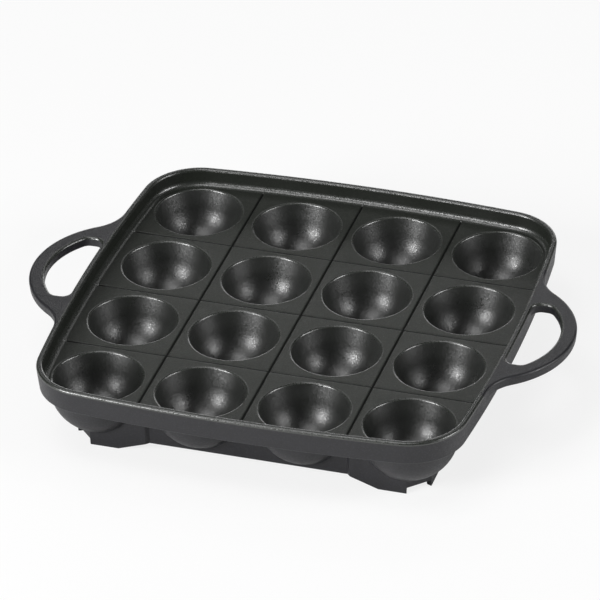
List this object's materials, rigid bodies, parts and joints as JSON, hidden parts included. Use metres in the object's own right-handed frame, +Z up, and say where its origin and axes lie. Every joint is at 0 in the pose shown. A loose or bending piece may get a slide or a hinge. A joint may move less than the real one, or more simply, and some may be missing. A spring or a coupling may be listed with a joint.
{
  "type": "takoyaki pan",
  "caption": "Cast aluminium takoyaki pan with a grid of round cups in a low-rimmed square tray, a loop handle at each side and feet at the corners.",
  "frame": {"origin": "middle of the pan, on the plane that its feet stand on", "axes": "+X to the right, from one handle to the other; +Y to the back; +Z up, out of the cups"},
  "size_m": [0.2546, 0.2045, 0.0382],
  "materials": {
    "coated_aluminium": "dark grey satin non-stick coat"
  },
  "bodies": {
    "root": {"cup_row1_col1": "coated_aluminium", "cup_row1_col2": "coated_aluminium", "cup_row1_col3": "coated_aluminium", "cup_row1_col4": "coated_aluminium", "cup_row2_col1": "coated_aluminium", "cup_row2_col2": "coated_aluminium", "cup_row2_col3": "coated_aluminium", "cup_row2_col4": "coated_aluminium", "cup_row3_col1": "coated_aluminium", "cup_row3_col2": "coated_aluminium", "cup_row3_col3": "coated_aluminium", "cup_row3_col4": "coated_aluminium", "cup_row4_col1": "coated_aluminium", "cup_row4_col2": "coated_aluminium", "cup_row4_col3": "coated_aluminium", "cup_row4_col4": "coated_aluminium", "rim": "coated_aluminium", "handle_left": "coated_aluminium", "handle_right": "coated_aluminium", "skirt_front": "coated_aluminium", "skirt_back": "coated_aluminium", "skirt_left": "coated_aluminium", "skirt_right": "coated_aluminium", "feet_front_left": "coated_aluminium", "feet_front_right": "coated_aluminium", "feet_back_left": "coated_aluminium", "feet_back_right": "coated_aluminium"}
  },
  "joints": []
}
